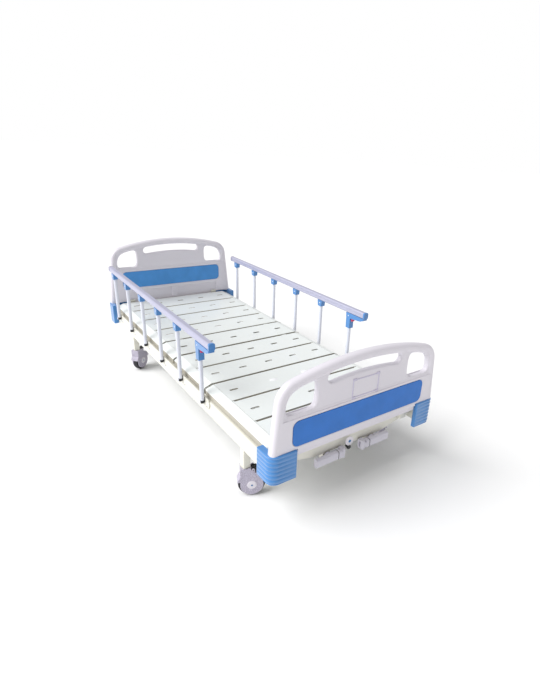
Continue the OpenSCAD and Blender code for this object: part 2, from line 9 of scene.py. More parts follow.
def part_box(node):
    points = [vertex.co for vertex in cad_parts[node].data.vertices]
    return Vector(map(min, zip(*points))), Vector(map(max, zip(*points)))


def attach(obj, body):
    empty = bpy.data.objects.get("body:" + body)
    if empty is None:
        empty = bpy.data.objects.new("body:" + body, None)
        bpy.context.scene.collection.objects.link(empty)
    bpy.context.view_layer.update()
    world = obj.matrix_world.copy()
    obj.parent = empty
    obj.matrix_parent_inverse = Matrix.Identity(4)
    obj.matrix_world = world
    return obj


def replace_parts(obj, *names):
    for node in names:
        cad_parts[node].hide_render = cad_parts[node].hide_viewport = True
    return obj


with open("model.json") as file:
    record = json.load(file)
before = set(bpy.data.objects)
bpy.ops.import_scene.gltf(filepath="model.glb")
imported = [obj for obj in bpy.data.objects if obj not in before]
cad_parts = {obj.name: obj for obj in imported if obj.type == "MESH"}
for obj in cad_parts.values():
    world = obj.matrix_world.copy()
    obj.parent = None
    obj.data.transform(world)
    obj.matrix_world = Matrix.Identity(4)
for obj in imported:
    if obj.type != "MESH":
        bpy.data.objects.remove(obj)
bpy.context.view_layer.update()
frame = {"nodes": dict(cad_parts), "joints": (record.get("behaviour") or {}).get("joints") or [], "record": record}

mm = 0.001
scene = bpy.context.scene
nodes = frame["nodes"]
joints = {j["name"]: j for j in frame["joints"]}
bodyOf = {node: body for body, held in frame["record"]["behaviour"]["bodies"].items() for node in held}
sides = {"left": -1, "right": 1}
casterNames = ["foot_left", "foot_right", "head_left", "head_right"]
print("frame loaded:", len(nodes), "nodes")


# finishes

def screenColour(red, green, blue):
    values = []
    for v in (red, green, blue):
        v /= 255
        values.append(v / 12.92 if v < 0.04 else ((v + 0.055) / 1.055) ** 2.4)
    return (*values, 1.0)


def addNode(tree, kind, inputs=None, **settings):
    node = tree.nodes.new("ShaderNode" + kind)
    for key, value in settings.items():
        setattr(node, key, value)
    for key, value in (inputs or {}).items():
        if isinstance(value, bpy.types.NodeSocket):
            tree.links.new(value, node.inputs[key])
        else:
            node.inputs[key].default_value = value
    return node


def mixColour(tree, factor, first, second):
    node = tree.nodes.new("ShaderNodeMix")
    node.data_type = "RGBA"
    for socket, value in ((0, factor), (6, first), (7, second)):
        if isinstance(value, bpy.types.NodeSocket):
            tree.links.new(value, node.inputs[socket])
        else:
            node.inputs[socket].default_value = value
    return node.outputs[2]


def makeFinish(name, look):
    material = bpy.data.materials.new(name)
    material.use_nodes = True
    tree = material.node_tree
    shader = tree.nodes["Principled BSDF"]
    spot = addNode(tree, "TexCoord").outputs["Object"]
    stretched = addNode(tree, "Mapping", {"Vector": spot, "Scale": look.get("stretch", (1, 1, 1))}).outputs[0]

    # two close colours in soft patches
    light = screenColour(*look["colour"])
    dark = tuple(c * (1 - look.get("vary", 0.06)) for c in light[:3]) + (1.0,)
    patches = addNode(tree, "TexNoise", {"Vector": spot, "Scale": look.get("patch", 6.0), "Detail": 5.0})
    spread = addNode(tree, "MapRange", {"Value": patches.outputs[0], "From Min": 0.35, "From Max": 0.65})
    colour = mixColour(tree, spread.outputs[0], light, dark)

    grain = addNode(tree, "TexNoise", {"Vector": stretched, "Scale": look.get("grain", 700.0), "Detail": 3.0})
    if "speck" in look:
        fine = addNode(tree, "TexNoise", {"Vector": spot, "Scale": 420.0, "Detail": 2.0})
        few = addNode(tree, "MapRange", {"Value": fine.outputs[0], "From Min": 0.52, "From Max": 0.62})
        colour = mixColour(tree, few.outputs[0], colour, screenColour(*look["speck"]))

    # edges that hands, feet and trolleys have rubbed
    soft = addNode(tree, "Bevel", {"Radius": look.get("wearWidth", 2.2) * mm}, samples=4)
    flat = addNode(tree, "NewGeometry").outputs["Normal"]
    facing = addNode(tree, "VectorMath", {0: soft.outputs[0], 1: flat}, operation="DOT_PRODUCT").outputs["Value"]
    rubbed = addNode(tree, "MapRange", {"Value": facing, "From Min": 0.995, "From Max": 0.86})
    blotch = addNode(tree, "TexNoise", {"Vector": spot, "Scale": 38.0, "Detail": 4.0})
    broken = addNode(tree, "MapRange", {"Value": blotch.outputs[0], "From Min": 0.42, "From Max": 0.7,
                                        "To Max": look.get("wear", 0.35)})
    edge = addNode(tree, "Math", {0: rubbed.outputs[0], 1: broken.outputs[0]}, operation="MULTIPLY")
    colour = mixColour(tree, edge.outputs[0], colour, screenColour(*look.get("worn", (225, 225, 228))))
    if "recessShade" in look:  # painted shade: the colour turns beige-grey where ambient occlusion finds gaps and corners
        openness = addNode(tree, "AmbientOcclusion", {"Distance": look.get("recessShadeDepth", 16) * mm}, samples=6)
        hidden = addNode(tree, "MapRange", {"Value": openness.outputs["AO"], "From Min": 0.85, "From Max": 0.3,
                                            "To Max": look.get("recessShadeMost", 0.7)})
        colour = mixColour(tree, hidden.outputs[0], colour, screenColour(*look["recessShade"]))
    tree.links.new(colour, shader.inputs["Base Color"])

    rough = look.get("rough", 0.4)
    polish = addNode(tree, "MapRange", {"Value": grain.outputs[0] if "stretch" in look else blotch.outputs[0],
                                        "From Min": 0.3, "From Max": 0.7,
                                        "To Min": rough - look.get("roughVary", 0.06),
                                        "To Max": rough + look.get("roughVary", 0.06)})
    tree.links.new(polish.outputs[0], shader.inputs["Roughness"])

    height = grain.outputs[0]
    if "thread" in look:  # a screw along Y, with this pitch in metres
        height = addNode(tree, "TexWave", {"Vector": spot, "Scale": 2 * pi / (20 * look["thread"])},
                         bands_direction="Y").outputs["Fac"]
    bump = addNode(tree, "Bump", {"Height": height, "Strength": look.get("bump", 0.15),
                                  "Distance": look.get("depth", 0.25) * mm})
    tree.links.new(bump.outputs[0], shader.inputs["Normal"])

    shader.inputs["Metallic"].default_value = look.get("metal", 0.0)
    shader.inputs["Coat Weight"].default_value = look.get("coat", 0.0)
    shader.inputs["Coat Roughness"].default_value = 0.2
    shader.inputs["Specular IOR Level"].default_value = look.get("shine", 0.5)
    shader.inputs["Sheen Weight"].default_value = look.get("sheen", 0.0)
    shader.inputs["Sheen Roughness"].default_value = 0.45
    material.diffuse_color = light
    return material


finishes = {
    # frame_paint and deck_paint carry a beige-grey that is painted shade in their gaps and corners
    "frame_paint": {"colour": (234, 232, 221), "rough": 0.34, "vary": 0.035, "grain": 420, "bump": 0.12, "coat": 0.15,
                    "wearWidth": 1.1, "wear": 0.25, "worn": (206, 203, 192), "recessShade": (150, 143, 126), "recessShadeDepth": 22},
    "deck_paint": {"colour": (235, 239, 237), "rough": 0.3, "vary": 0.014, "grain": 380, "bump": 0.06, "coat": 0.2,
                   "wearWidth": 0.6, "wear": 0.03, "roughVary": 0.02, "worn": (222, 225, 222), "recessShade": (140, 134, 118),
                   "recessShadeDepth": 24, "recessShadeMost": 0.8},
    # a darker beige that is painted shade on the walls of the deck's gaps and slots and on its lower skirts
    "deck_painted_shade": {"colour": (186, 181, 168), "rough": 0.5, "vary": 0.08, "grain": 380, "bump": 0.15, "patch": 20.0,
                  "wear": 0.2, "worn": (206, 202, 192)},
    "abs_shell": {"colour": (228, 224, 232), "rough": 0.34, "vary": 0.035, "grain": 1300, "bump": 0.16, "patch": 3.0,
                  "coat": 0.15, "wear": 0.2, "worn": (244, 243, 247)},
    "blue_plastic": {"colour": (74, 138, 204), "rough": 0.36, "vary": 0.08, "grain": 1200, "bump": 0.2, "coat": 0.1,
                     "sheen": 0.55, "wear": 0.35, "worn": (146, 194, 236)},
    "blue_inlay": {"colour": (54, 122, 208), "rough": 0.46, "vary": 0.1, "grain": 1500, "bump": 0.3, "patch": 14.0,
                   "shine": 0.3, "wear": 0.25, "worn": (84, 136, 216)},
    "rail_aluminium": {"colour": (190, 190, 212), "rough": 0.36, "vary": 0.04, "metal": 0.22, "grain": 500,
                       "bump": 0.12, "stretch": (1, 0.02, 1), "wear": 0.3, "worn": (240, 240, 246)},
    "upright_enamel": {"colour": (226, 229, 240), "rough": 0.34, "vary": 0.03, "grain": 500, "bump": 0.1, "coat": 0.1,
                       "stretch": (1, 1, 0.02), "wear": 0.25, "worn": (244, 245, 250)},
    "bright_steel": {"colour": (196, 196, 200), "rough": 0.28, "metal": 0.9, "grain": 600, "bump": 0.12, "wear": 0.3},
    "gear_paint": {"colour": (206, 206, 198), "rough": 0.42, "grain": 380, "bump": 0.2, "wear": 0.4,
                   "worn": (170, 168, 160)},
    "red_plastic": {"colour": (214, 30, 76), "rough": 0.25, "coat": 0.3, "grain": 1200, "bump": 0.1, "wear": 0.25,
                    "worn": (232, 120, 140)},
    "caster_plastic": {"colour": (172, 166, 184), "rough": 0.48, "vary": 0.08, "grain": 900, "bump": 0.4, "depth": 0.4,
                       "speck": (216, 211, 226), "wear": 0.4, "worn": (226, 222, 234)},
    "caster_tyre": {"colour": (46, 45, 52), "rough": 0.62, "vary": 0.15, "grain": 800, "bump": 0.5, "wear": 0.5,
                    "worn": (96, 95, 100)},
    "black_plastic": {"colour": (22, 22, 26), "rough": 0.4, "vary": 0.15, "grain": 1000, "bump": 0.25, "wear": 0.3,
                      "worn": (84, 84, 90)},
    "crank_plastic": {"colour": (208, 205, 216), "rough": 0.36, "vary": 0.05, "grain": 1100, "bump": 0.22,
                      "coat": 0.2, "wear": 0.35, "worn": (232, 231, 240)},
    "clear_plastic": {"colour": (206, 200, 222), "rough": 0.16, "vary": 0.04, "grain": 900, "bump": 0.08, "coat": 0.5,
                      "wear": 0.2, "worn": (236, 234, 242)},
}
materials = {name: makeFinish(name, look) for name, look in finishes.items()}
materials["screw_thread"] = makeFinish("screw_thread", {**finishes["bright_steel"], "thread": 0.005, "bump": 0.9,
                                                        "depth": 1.4})
# the dimples' finish is glossier than the deck paint, and its whiter colour is a painted highlight
materials["dimple_gloss_highlight"] = makeFinish("dimple_gloss_highlight", {"colour": (250, 251, 252), "rough": 0.2, "vary": 0.01,
                                                        "coat": 0.4, "wear": 0.05})
materials["hub_dot"] = makeFinish("hub_dot", {"colour": (38, 112, 168), "rough": 0.3, "wear": 0.15})
# a lighter copy of the inlay blue for the head board: painted light, standing in for how light falls on that inlay
materials["blue_inlay_painted_lighter"] = makeFinish("blue_inlay_painted_lighter", {**finishes["blue_inlay"], "colour": (80, 152, 222)})
print("finishes made:", len(materials))


# helpers for shapes

def merged(nodeName):
    shape = bmesh.new()
    shape.from_mesh(nodes[nodeName].data)
    bmesh.ops.remove_doubles(shape, verts=shape.verts, dist=0.02 * mm)
    bmesh.ops.dissolve_limit(shape, angle_limit=radians(1), verts=shape.verts, edges=shape.edges)
    return shape


def sharpEdges(shape, angle=35):
    return [e for e in shape.edges if len(e.link_faces) == 2 and e.calc_face_angle(0) > radians(angle)]


def roundEdges(shape, edges, width, segments=3):
    if edges:
        bmesh.ops.bevel(shape, geom=edges, offset=width * mm, offset_type="OFFSET", segments=segments, profile=0.5,
                        affect="EDGES", clamp_overlap=True, material=-1)


def addPiece(name, shape, body, slot, finish=None, turnOut=True, crease=32):
    if turnOut:
        bmesh.ops.recalc_face_normals(shape, faces=shape.faces)
    mesh = bpy.data.meshes.new(name)
    shape.to_mesh(mesh)
    shape.free()
    for face in mesh.polygons:
        face.use_smooth = True
    mesh.set_sharp_from_angle(angle=radians(crease))
    mesh.materials.append(materials[finish or slot])
    piece = bpy.data.objects.new(name, mesh)
    scene.collection.objects.link(piece)
    flat = piece.modifiers.new("flat faces stay flat", "WEIGHTED_NORMAL")
    flat.keep_sharp, flat.weight = True, 80
    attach(piece, body)
    return piece


def softened(nodeName, slot, passes=((1.2, 2, None),), finish=None, name=None):
    # the part with its edges rounded: each pass is a width, a number of steps and which edges
    shape = merged(nodeName)
    for width, steps, wanted in passes:
        edges = [e for e in sharpEdges(shape) if wanted is None or wanted(e)]
        roundEdges(shape, edges, width, steps)
    piece = addPiece(name or nodeName + "_soft", shape, bodyOf[nodeName], slot, finish, turnOut=False)
    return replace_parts(piece, nodeName)


def pourInto(shape, part):
    # adds a finished part to a shape
    mesh = bpy.data.meshes.new("part")
    part.to_mesh(mesh)
    part.free()
    shape.from_mesh(mesh)
    bpy.data.meshes.remove(mesh)


def middle(edge):
    return (edge.verts[0].co + edge.verts[1].co) / 2


def slopes(edge, axis):
    # how far the edge runs along an axis, as a share of its length
    run = edge.verts[1].co - edge.verts[0].co
    return abs(run[axis]) / max(run.length, 1e-9)


def roundRing(width, height, radius, steps=5):
    ring = []
    for quarter, (sx, sy) in enumerate(((1, 1), (-1, 1), (-1, -1), (1, -1))):
        for i in range(steps + 1):
            a = (quarter + i / steps) * pi / 2
            ring.append(Vector((sx * (width / 2 - radius) + radius * cos(a),
                                sy * (height / 2 - radius) + radius * sin(a), 0)))
    return ring


def sweep(shape, ring, places):
    # carries a closed ring in its own XY plane through a row of matrices, and closes both ends
    verts = [shape.verts.new(places[0] @ p) for p in ring]
    edges = [shape.edges.new((verts[i - 1], verts[i])) for i in range(len(verts))]
    ends = [edges]
    for before, after in zip(places, places[1:]):
        made = bmesh.ops.extrude_edge_only(shape, edges=edges)["geom"]
        verts = [g for g in made if isinstance(g, bmesh.types.BMVert)]
        fresh = set(verts)
        edges = [g for g in made if isinstance(g, bmesh.types.BMEdge) and set(g.verts) <= fresh]
        bmesh.ops.transform(shape, matrix=after @ before.inverted(), verts=verts)
    ends.append(edges)
    for end in ends:
        bmesh.ops.holes_fill(shape, edges=end, sides=0)


def addPlate(shape, loops, y0, y1, edge, steps=4):
    # a flat outline drawn in X and Z, with holes, made a plate from y0 to y1 with rounded edges
    outline = bpy.data.curves.new("outline", "CURVE")
    outline.dimensions, outline.fill_mode = "2D", "BOTH"
    outline.extrude = abs(y1 - y0) / 2 - edge
    outline.bevel_depth, outline.offset, outline.bevel_resolution = edge, -edge, steps
    for loop in loops:
        line = outline.splines.new("POLY")
        line.points.add(len(loop) - 1)
        for point, (x, z) in zip(line.points, loop):
            point.co = (x, z, 0, 1)
        line.use_cyclic_u = True
    holder = bpy.data.objects.new("outline", outline)
    scene.collection.objects.link(holder)
    bpy.context.view_layer.update()
    mesh = bpy.data.meshes.new_from_object(holder.evaluated_get(bpy.context.evaluated_depsgraph_get()))
    mesh.transform(Matrix.Translation((0, (y0 + y1) / 2, 0)) @ Matrix.Rotation(pi / 2, 4, "X"))
    part = bmesh.new()
    part.from_mesh(mesh)
    bpy.data.meshes.remove(mesh)
    bpy.data.objects.remove(holder)
    bmesh.ops.remove_doubles(part, verts=part.verts, dist=0.01 * mm)
    bmesh.ops.dissolve_limit(part, angle_limit=radians(0.5), verts=part.verts, edges=part.edges)
    bmesh.ops.recalc_face_normals(part, faces=part.faces)
    pourInto(shape, part)


def sectionLoops(nodeName, y):
    # the outlines left where a plane across the bed cuts a part, widest first
    shape = merged(nodeName)
    bmesh.ops.bisect_plane(shape, geom=shape.verts[:] + shape.edges[:] + shape.faces[:], plane_co=(0, y, 0),
                           plane_no=(0, 1, 0), clear_inner=True, clear_outer=True)
    bmesh.ops.remove_doubles(shape, verts=shape.verts, dist=0.3 * mm)
    loops, used = [], set()
    for first in shape.verts:
        if first in used:
            continue
        vert, loop = first, []
        while vert is not None:
            used.add(vert)
            loop.append((vert.co.x, vert.co.z))
            ways = [e.other_vert(vert) for e in vert.link_edges if e.other_vert(vert) not in used]
            vert = ways[0] if ways else None
        loops.append(loop)
    shape.free()
    return sorted(loops, key=lambda l: min(p[0] for p in l) - max(p[0] for p in l))


def eased(loop, step, times):
    # the same outline with its sharp corners worn round
    points = []
    for (ax, az), (bx, bz) in zip(loop, loop[1:] + loop[:1]):
        parts = max(1, round(hypot(bx - ax, bz - az) / step))
        points += [(ax + (bx - ax) * i / parts, az + (bz - az) * i / parts) for i in range(parts)]
    for _ in range(times):
        points = [tuple((a + 2 * b + c) / 4 for a, b, c in zip(points[i - 1], p, points[(i + 1) % len(points)]))
                  for i, p in enumerate(points)]
    return points


def addSpin(shape, profile, place, steps=48):
    # turns (radius, height) points round the local Y axis, then puts the result in place
    part = bmesh.new()
    verts = [part.verts.new((r, y, 0)) for r, y in profile]
    edges = [part.edges.new((verts[i], verts[i + 1])) for i in range(len(verts) - 1)]
    bmesh.ops.spin(part, geom=verts + edges, cent=(0, 0, 0), axis=(0, 1, 0), angle=2 * pi, steps=steps, use_merge=True)
    bmesh.ops.remove_doubles(part, verts=part.verts, dist=0.005 * mm)
    bmesh.ops.recalc_face_normals(part, faces=part.faces)
    bmesh.ops.transform(part, matrix=place, verts=part.verts)
    pourInto(shape, part)


def addBlock(shape, low, high, width=0.0, steps=3):
    # a box between two corners with its edges rounded
    part = bmesh.new()
    bmesh.ops.create_cube(part, size=1)
    size = [high[i] - low[i] for i in range(3)]
    bmesh.ops.scale(part, vec=size, verts=part.verts)
    bmesh.ops.translate(part, vec=[(high[i] + low[i]) / 2 for i in range(3)], verts=part.verts)
    if width:
        roundEdges(part, part.edges[:], width, steps)
    pourInto(shape, part)


def sliceAt(shape, axis, place):
    # adds edges where a plane square to an axis passes
    point, normal = Vector(), Vector()
    point[axis], normal[axis] = place, 1
    bmesh.ops.bisect_plane(shape, geom=shape.verts[:] + shape.edges[:] + shape.faces[:], plane_co=point,
                           plane_no=normal)


def pivotOf(side, k):
    # the lower pivot of an upright, counted from the head end; upright 4 is the driven one
    return joints[f"{side}_rail_fold" if k == 4 else f"{side}_upright_{k}_fold"]["pos_m"]


def cutAway(mesh, cutter):
    # the mesh less the shape of the cutter
    block = bpy.data.objects.new("whole", mesh)
    tool = bpy.data.objects.new("cutter", bpy.data.meshes.new("cutter"))
    cutter.to_mesh(tool.data)
    cutter.free()
    scene.collection.objects.link(block)
    scene.collection.objects.link(tool)
    cut = block.modifiers.new("cut", "BOOLEAN")
    cut.operation, cut.solver, cut.object = "DIFFERENCE", "EXACT", tool
    bpy.context.view_layer.update()
    result = bpy.data.meshes.new_from_object(block.evaluated_get(bpy.context.evaluated_depsgraph_get()))
    bpy.data.objects.remove(block)
    bpy.data.objects.remove(tool)
    bpy.data.meshes.remove(mesh)
    return result


# end boards: a round tube all round, a panel with three windows, and a band that carries the inlay

endBoard = {"rim": 43 * mm, "rimRound": 18.5 * mm, "panel": 31 * mm, "windowRound": 9 * mm, "bandRound": 4.5 * mm,
            "cornerRound": 95 * mm, "arch": 1400 * mm, "lean": 0.1, "footHalf": 466 * mm, "rimFoot": 381 * mm,
            "bandAbove": 14 * mm, "bandBelow": 26 * mm, "bandHalf": 449 * mm, "inlayRound": 28.5 * mm,
            "ease": 80, "ledge": 15 * mm, "footZ": 384 * mm, "tubeFrom": 386 * mm, "hidden": 9 * mm,
            "outwardFrom": 400 * mm, "handleHalf": 210 * mm, "neckHalf": 345 * mm, "shoulderZ": 383 * mm,
            "inlayHalf": 58 * mm, "footInlayZ": 455 * mm}


def rimPath(crown, inset):
    # the tube's centreline up the right side, round the corner and along the arch to the middle
    lean, arch, corner = endBoard["lean"], endBoard["arch"], endBoard["cornerRound"]
    zArch = crown - arch
    slant = sqrt(1 + lean * lean)
    k = endBoard["footHalf"] + lean * (endBoard["footZ"] - zArch) - corner * slant
    a = slant * slant
    reach = arch - corner
    up = (k * lean + sqrt(k * k * lean * lean - a * (k * k - reach * reach))) / a
    cx, cz = k - lean * up, zArch + up
    start = atan(lean)
    turn = atan2(up, k - lean * up)
    foot = endBoard["footHalf"] + lean * (endBoard["footZ"] - endBoard["rimFoot"]) - inset * slant
    path = [(foot, endBoard["rimFoot"], start)]
    for i in range(13):
        angle = start + (turn - start) * i / 12
        path.append((cx + (corner - inset) * cos(angle), cz + (corner - inset) * sin(angle), angle))
    for i in range(1, 17):
        angle = turn + (pi / 2 - turn) * i / 16
        path.append(((arch - inset) * cos(angle), zArch + (arch - inset) * sin(angle), angle))
    return path


def makeBoard(nodeName, inlayZ, body):
    low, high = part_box(nodeName)
    y = (low.y + high.y) / 2
    half = (high.y - low.y) / 2
    shape = bmesh.new()

    right = rimPath(high.z, endBoard["rim"] / 2)
    path = right + [(-x, z, pi - a) for x, z, a in right[-2::-1]]
    places = []
    for x, z, angle in path:
        out = Vector((cos(angle), 0, sin(angle)))
        across = Vector((0, 1, 0))
        along = out.cross(across)
        places.append(Matrix.Translation((x, y, z)) @ Matrix((out, across, along)).transposed().to_4x4())
    sweep(shape, roundRing(endBoard["rim"], 2 * half, endBoard["rimRound"], 6), places)

    loops = sectionLoops(nodeName, y)
    outer = loops[0]
    inner = []
    for i, (x, z) in enumerate(outer):  # drawn in a little so that the tube covers it
        if z > endBoard["tubeFrom"]:
            before, after = outer[i - 1], outer[(i + 1) % len(outer)]
            dx, dz = after[0] - before[0], after[1] - before[1]
            length = hypot(dx, dz) or 1
            nx, nz = dz / length, -dx / length
            if nx * x + nz * (z - endBoard["outwardFrom"]) < 0:
                nx, nz = -nx, -nz
            x, z = x - endBoard["hidden"] * nx, z - endBoard["hidden"] * nz
        elif abs(z - endBoard["footZ"]) < 3 * mm and abs(x) > endBoard["outwardFrom"]:
            x = x - endBoard["hidden"] * (1 if x > 0 else -1)
        inner.append((x, z))
    holes = [loop if abs(loop[0][0]) < endBoard["handleHalf"] else eased(loop, 4 * mm, endBoard["ease"])
             for loop in loops[1:]]
    addPlate(shape, [inner] + holes, y - endBoard["panel"] / 2, y + endBoard["panel"] / 2, endBoard["windowRound"], 5)

    # the band across, open where the inlay lies
    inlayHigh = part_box("board_inlays")[1]
    w, h = inlayHigh.x + 0.5 * mm, endBoard["inlayHalf"] + 0.5 * mm
    r = endBoard["inlayRound"]
    hole = [(p.x, inlayZ + p.y) for p in roundRing(2 * w, 2 * h, r, 8)]
    b = endBoard["bandHalf"]
    bottom, top = inlayZ - h - endBoard["bandBelow"] + 0.5 * mm, inlayZ + h + endBoard["bandAbove"]
    taper = endBoard["lean"] * (top - endBoard["footZ"])
    neck, shoulder = endBoard["neckHalf"], endBoard["shoulderZ"]
    band = [(-neck, bottom), (neck, bottom), (neck, shoulder), (b, shoulder), (b - taper, top),
            (-b + taper, top), (-b, shoulder), (-neck, shoulder)]
    addPlate(shape, [band, hole], y - half, y + half, endBoard["bandRound"], 3)
    ledge = endBoard["ledge"]
    for face in (-1, 1):  # its top runs back to the panel in a slope
        wedge = bmesh.new()
        bmesh.ops.create_cube(wedge, size=1)
        bmesh.ops.scale(wedge, vec=(2 * (b - taper) - 24 * mm, half - 12 * mm, ledge + 8 * mm), verts=wedge.verts)
        bmesh.ops.translate(wedge, vec=(0, y + face * (half / 2 + 6 * mm - 0.4 * mm), top + ledge / 2 - 4 * mm),
                            verts=wedge.verts)
        for v in wedge.verts:
            if v.co.z > top and (v.co.y - y) * face > half - 3 * mm:
                v.co.y = y + face * (endBoard["panel"] / 2 - 1 * mm)
            elif (v.co.y - y) * face > half - 3 * mm:
                v.co.y -= face * 1.2 * mm
        pourInto(shape, wedge)
    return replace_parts(addPiece(nodeName + "_shell", shape, body, "abs_shell", turnOut=False, crease=40), nodeName)


makeBoard("foot_board", endBoard["footInlayZ"], "base")
makeBoard("head_board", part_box("board_inlays")[1].z - endBoard["inlayHalf"], "base")
inlays = softened("board_inlays", "blue_inlay", ((1.0, 3, None),))
# the head board's inlay takes the lighter copy, which is painted light
inlays.data.materials.append(materials["blue_inlay_painted_lighter"])
for face in inlays.data.polygons:
    face.material_index = int(face.center.y > 0)
print("boards made")

# bumpers: blocks round each corner with soft ribs that fade towards the middle of the bed

bumper = {"ribs": 6, "groove": 3.4, "corner": 40, "topRound": 7, "plain": 12, "wide": 125, "deep": 110,
          "endRound": 5, "lowRound": 3, "slicesX": (30, 62), "slicesY": (26, 50), "steps": 8}


def makeBumpers():
    low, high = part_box("corner_bumpers")
    wide, deep = bumper["wide"] * mm, bumper["deep"] * mm
    shape = bmesh.new()
    quarter = bmesh.new()
    bmesh.ops.create_cube(quarter, size=1)
    bmesh.ops.scale(quarter, vec=(wide, deep, high.z - low.z), verts=quarter.verts)
    bmesh.ops.translate(quarter, vec=(high.x - wide / 2, high.y - deep / 2, (high.z + low.z) / 2), verts=quarter.verts)
    bmesh.ops.translate(quarter, vec=(0, 0, -0.6 * mm), verts=[v for v in quarter.verts if v.co.z < high.z - 0.05])

    def uprightEdges(wanted):
        return [e for e in quarter.edges if slopes(e, 2) > 0.9 and wanted(middle(e))]

    roundEdges(quarter, uprightEdges(lambda m: m.x > high.x - 0.01 and m.y > high.y - 0.01), bumper["corner"], 12)
    roundEdges(quarter, uprightEdges(lambda m: m.x < high.x - wide + 0.001 and m.y > high.y - 0.01),
               bumper["endRound"], 3)
    roundEdges(quarter, uprightEdges(lambda m: m.y < high.y - deep + 0.001 and m.x > high.x - 0.01),
               bumper["endRound"], 3)

    # grooves, deepest round the corner
    start, stop = low.z + 4 * mm, high.z - bumper["plain"] * mm
    pitch = (stop - start) / bumper["ribs"]
    for x in bumper["slicesX"]:
        sliceAt(quarter, 0, high.x - wide + x * mm)
    for y in bumper["slicesY"]:
        sliceAt(quarter, 1, high.y - deep + y * mm)
    for i in range(bumper["ribs"] * bumper["steps"] + 1):
        sliceAt(quarter, 2, start + i * pitch / bumper["steps"])
    corner = bumper["corner"] * mm
    centre = Vector((high.x - corner, high.y - corner, 0))
    for v in quarter.verts:
        if not start < v.co.z < stop + 0.0001:
            continue
        flat = Vector((v.co.x, v.co.y, 0))
        front, flank = v.co.y > high.y - 0.5 * mm, v.co.x > high.x - 0.5 * mm
        onCorner = v.co.x > centre.x - 0.1 * mm and v.co.y > centre.y - 0.1 * mm
        if not (front or flank or onCorner):
            continue
        if onCorner:
            out, far = (flat - centre).normalized(), 0.0
        elif front:
            out, far = Vector((0, 1, 0)), (centre.x - v.co.x) / (wide - corner)
        else:
            out, far = Vector((1, 0, 0)), (centre.y - v.co.y) / (deep - corner)
        wave = 0.5 + 0.5 * cos(2 * pi * (v.co.z - start) / pitch)
        depth = bumper["groove"] * mm * wave ** 2.2 * max(0.25, 1 - 0.9 * far)
        v.co -= out * depth
    rim = [e for e in sharpEdges(quarter, 50) if middle(e).z > high.z - 1 * mm and slopes(e, 2) < 0.2]
    roundEdges(quarter, rim, bumper["topRound"], 4)
    base = [e for e in sharpEdges(quarter, 50) if middle(e).z < low.z + 1 * mm and slopes(e, 2) < 0.2]
    roundEdges(quarter, base, bumper["lowRound"], 3)

    mesh = bpy.data.meshes.new("quarter")
    quarter.to_mesh(mesh)
    quarter.free()
    pocket = bmesh.new()  # the room for the end of the beam
    addBlock(pocket, (high.x - wide - 5 * mm, high.y - deep - 5 * mm, low.z - 5 * mm),
             (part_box("side_beams")[1].x + 2 * mm, high.y - 20 * mm, high.z + 5 * mm))
    mesh = cutAway(mesh, pocket)
    for sx in (1, -1):
        for sy in (1, -1):
            turned = mesh.copy()
            turned.transform(Matrix.Diagonal((sx, sy, 1, 1)))
            if sx * sy < 0:
                turned.flip_normals()
            shape.from_mesh(turned)
            bpy.data.meshes.remove(turned)
    bpy.data.meshes.remove(mesh)
    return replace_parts(addPiece("bumper_blocks", shape, "base", "blue_plastic", turnOut=False, crease=45),
                       "corner_bumpers")


makeBumpers()
print("bumpers made")

# main frame

softened("side_beams", "frame_paint", ((5, 4, lambda e: slopes(e, 1) > 0.9), (0.8, 2, None)))
softened("cross_members", "frame_paint", ((2.4, 3, lambda e: slopes(e, 0) > 0.9), (0.8, 2, None)))
softened("legs", "frame_paint", ((4, 4, lambda e: slopes(e, 2) > 0.9), (0.8, 2, None)))
softened("rail_base_bars", "frame_paint", ((1.6, 3, None),))
softened("mounting_blocks", "frame_paint", ((2.5, 3, None),))

# pressed ribs along the rail bars, one between each two uprights, and a cap screw beside each upright
barRib = {"height": 8.5, "rise": 1.6, "clear": 46, "below": 19, "screwAhead": 30, "screw": 3.8}
for side, sx in sides.items():
    pivots = [pivotOf(side, k) for k in range(1, 7)]
    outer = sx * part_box("rail_base_bars")[1].x
    outward = Matrix.Rotation(-sx * pi / 2, 4, "Z")
    shape = bmesh.new()
    for ahead, behind in zip(pivots, pivots[1:]):
        length = ahead[1] - behind[1] - 2 * barRib["clear"] * mm
        centreY = (ahead[1] + behind[1]) / 2
        h, r = barRib["height"] * mm, barRib["rise"] * mm
        plate = [(p.x, p.y) for p in roundRing(length, h, h / 2 - 0.1 * mm, 8)]
        part = bmesh.new()
        addPlate(part, [plate], -1.5 * mm, r, r * 0.9, 3)
        spot = Matrix.Translation((outer, centreY, ahead[2] - barRib["below"] * mm)) @ outward
        bmesh.ops.transform(part, matrix=spot, verts=part.verts)
        pourInto(shape, part)
    addPiece(side + "_bar_ribs", shape, "base", "frame_paint")
    shape = bmesh.new()
    for pivot in pivots:
        r = barRib["screw"] * mm
        spot = Matrix.Translation((outer, pivot[1] - barRib["screwAhead"] * mm, pivot[2] - barRib["below"] * mm))
        addSpin(shape, [(0, 0.8 * mm), (0.5 * r, 0.8 * mm), (0.56 * r, 2.2 * mm), (0.85 * r, 2.2 * mm), (r, 1.5 * mm),
                        (r, -1 * mm), (0, -1 * mm)], spot @ outward, 24)
    addPiece(side + "_bar_screws", shape, "base", "bright_steel")

